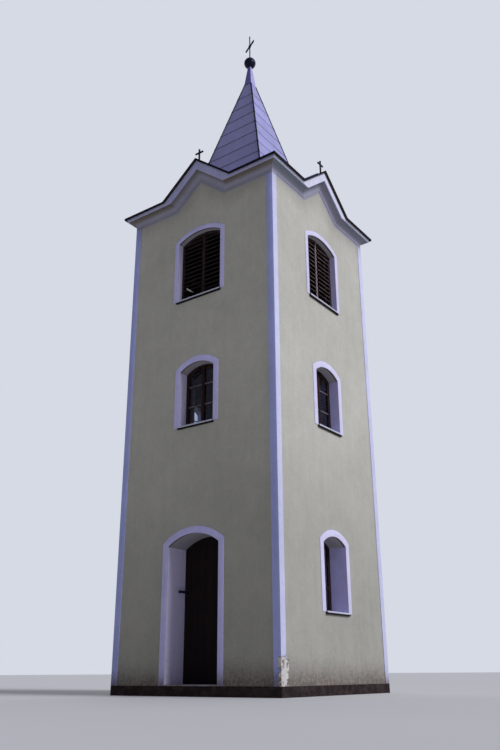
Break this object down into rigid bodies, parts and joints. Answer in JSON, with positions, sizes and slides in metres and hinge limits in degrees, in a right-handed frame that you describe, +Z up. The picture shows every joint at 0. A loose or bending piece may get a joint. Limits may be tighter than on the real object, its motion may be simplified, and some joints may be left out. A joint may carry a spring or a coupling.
{
  "type": "bell tower",
  "caption": "Square rendered bell tower with an arched door, arched windows, belfry louvres, a coved cornice with gables and a slender sheet-metal spire.",
  "frame": {"origin": "middle of the square shaft on the ground, at the foot of the plinth", "axes": "+Z up, -Y towards the viewer standing in front of the door, +X to that viewer's right"},
  "size_m": [4.016, 4.016, 15.453],
  "materials": {
    "render_wall": "lime plaster, pale cream",
    "render_trim": "lime plaster, white",
    "plinth": "dark stained masonry",
    "floor_boards": "sawn boards",
    "threshold": "worn stone",
    "door_wood": "dark stained planks",
    "iron": "black painted iron",
    "window_wood": "brown stained joinery",
    "glass": "clear pane",
    "louvre_wood": "brown weathered slats",
    "sill_sheet": "folded sheet",
    "fascia_paint": "painted board",
    "roof_sheet": "folded sheet, dull",
    "spire_sheet": "zinc sheet in level courses",
    "dark_metal": "dark sheet"
  },
  "bodies": {
    "tower": {"plinth": "plinth", "front_wall_left": "render_wall", "front_wall_right": "render_wall", "front_wall_over_door": "render_wall", "right_wall_ground": "render_wall", "back_wall_ground": "render_wall", "left_wall_ground": "render_wall", "front_wall_middle": "render_wall", "right_wall_middle": "render_wall", "back_wall_middle": "render_wall", "left_wall_middle": "render_wall", "front_wall_belfry": "render_wall", "right_wall_belfry": "render_wall", "back_wall_belfry": "render_wall", "left_wall_belfry": "render_wall", "middle_floor": "floor_boards", "belfry_floor": "floor_boards", "door_threshold": "threshold", "door_pintles": "iron", "door_surround": "render_trim", "ground_window_surrounds": "render_trim", "middle_window_surrounds": "render_trim", "louvre_surrounds": "render_trim", "ground_window_frames": "window_wood", "middle_window_frames": "window_wood", "ground_window_glass": "glass", "middle_window_glass": "glass", "louvre_frames": "louvre_wood", "louvre_slats_front": "louvre_wood", "louvre_slats_right": "louvre_wood", "louvre_slats_back": "louvre_wood", "louvre_slats_left": "louvre_wood", "window_sills": "sill_sheet", "corner_strips": "render_trim", "cornice": "render_trim", "fascia": "fascia_paint", "roof_deck": "roof_sheet", "spire": "spire_sheet", "spire_cap": "spire_sheet", "spire_ball": "dark_metal", "spire_cross": "iron", "gable_crosses": "iron"},
    "door": {"door_leaf": "door_wood", "door_latch_bar": "iron", "door_hinge_straps": "iron"}
  },
  "joints": [
    {"name": "door_hinge", "type": "hinge", "parent": "tower", "child": "door", "pos_m": [0.615, -1.2417, 1.3075], "axis": [0, 0, 1], "range_deg": [-95, 0]}
  ]
}
